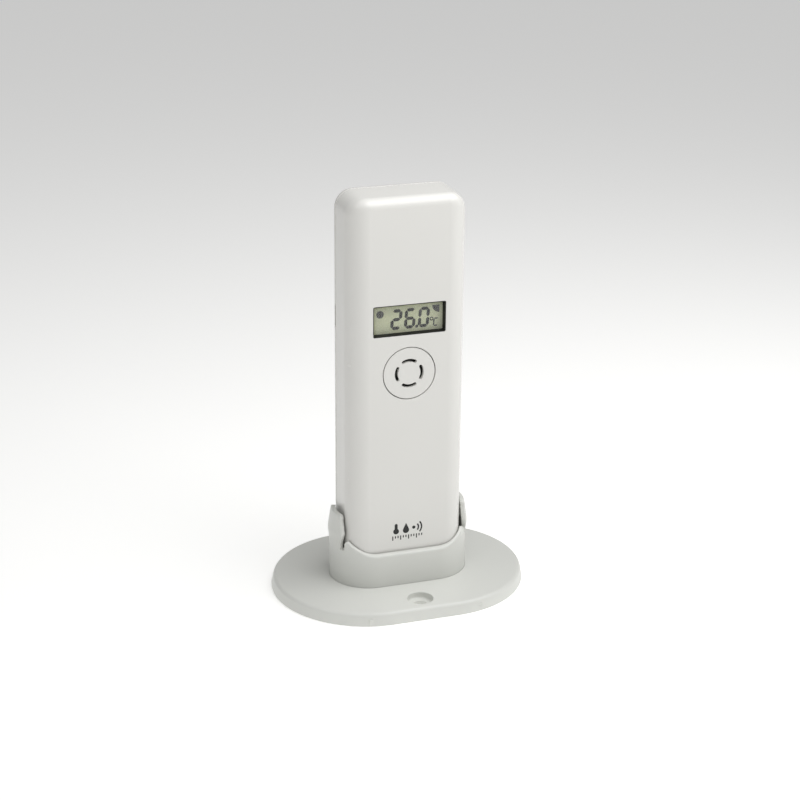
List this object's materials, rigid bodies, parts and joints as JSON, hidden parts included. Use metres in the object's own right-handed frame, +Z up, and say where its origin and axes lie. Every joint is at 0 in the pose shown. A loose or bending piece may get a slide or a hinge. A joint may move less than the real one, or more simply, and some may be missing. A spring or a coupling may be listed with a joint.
{
  "type": "wireless thermo-hygrometer sensor",
  "caption": "Slim white wireless temperature and humidity sensor with a small display and round air vent, held upright by spring clips in a flat stadium-shaped table stand.",
  "frame": {"origin": "centre of the stand plate's underside, on the surface it stands on", "axes": "+Z up along the case, -Y the way the display faces, +X to the display's right as the viewer sees it"},
  "size_m": [0.0826, 0.0614, 0.1306],
  "materials": {
    "white_abs": "satin moulded ABS",
    "stand_abs": "satin moulded ABS",
    "grey_abs": "plain moulded ABS",
    "black_rubber": "matt",
    "foam_rubber": "matt foam",
    "clear_acrylic": "polished",
    "lcd_glass": "grey-green display with a polariser",
    "reflector_foil": "brushed foil",
    "membrane": "woven",
    "circuit_board": "solder mask",
    "black_epoxy": "moulded epoxy",
    "plated_steel": "nickel plated",
    "wire_cover": "extruded insulation",
    "cell_jacket": "printed sleeve"
  },
  "bodies": {
    "stand": {"stand_base": "stand_abs"},
    "left_clip": {"left_clip": "stand_abs"},
    "right_clip": {"right_clip": "stand_abs"},
    "sensor": {"front_housing": "white_abs", "rear_cover": "white_abs", "case_gasket": "foam_rubber", "display_gasket": "black_rubber", "display_window": "clear_acrylic", "lcd_panel": "lcd_glass", "lcd_reflector": "reflector_foil", "zebra_strip_lower": "foam_rubber", "zebra_strip_upper": "foam_rubber", "lcd_frame": "grey_abs", "vent_cap": "white_abs", "vent_membrane": "membrane", "humidity_sensor": "white_abs", "circuit_board": "circuit_board", "controller_chip": "black_epoxy", "radio_module": "circuit_board", "crystal": "plated_steel", "capacitor": "black_epoxy", "tx_switch_base": "black_epoxy", "antenna": "wire_cover", "battery_tray": "grey_abs", "battery_left": "cell_jacket", "battery_right": "cell_jacket", "positive_contact": "plated_steel", "negative_contact": "plated_steel", "link_contact": "plated_steel", "contact_spring": "plated_steel", "red_lead": "wire_cover", "black_lead": "wire_cover", "case_screw_1": "plated_steel", "case_screw_2": "plated_steel", "case_screw_3": "plated_steel", "board_screw_1": "plated_steel", "board_screw_2": "plated_steel", "board_screw_3": "plated_steel", "board_screw_4": "plated_steel"},
    "battery_door": {"battery_door": "white_abs"},
    "tx_button": {"tx_button": "grey_abs"}
  },
  "joints": [
    {"name": "sensor_lift", "type": "slide", "parent": "stand", "child": "sensor", "axis": [0, 0, 1], "range_m": [0, 0.03]},
    {"name": "left_clip_flex", "type": "hinge", "parent": "stand", "child": "left_clip", "pos_m": [-0.0215, 0, 0.0162], "axis": [0, -1, 0], "range_deg": [0, 5], "stiffness_Nm_per_rad": 0.02},
    {"name": "right_clip_flex", "type": "hinge", "parent": "stand", "child": "right_clip", "pos_m": [0.0215, 0, 0.0162], "axis": [0, 1, 0], "range_deg": [0, 5], "stiffness_Nm_per_rad": 0.02},
    {"name": "door_tilt", "type": "hinge", "parent": "sensor", "child": "battery_door", "pos_m": [0, 0.01, 0.0223], "axis": [-1, 0, 0], "range_deg": [0, 75]},
    {"name": "tx_press", "type": "slide", "parent": "sensor", "child": "tx_button", "axis": [0, -1, 0], "range_m": [0, 0.0003], "stiffness_N_per_m": 200}
  ]
}
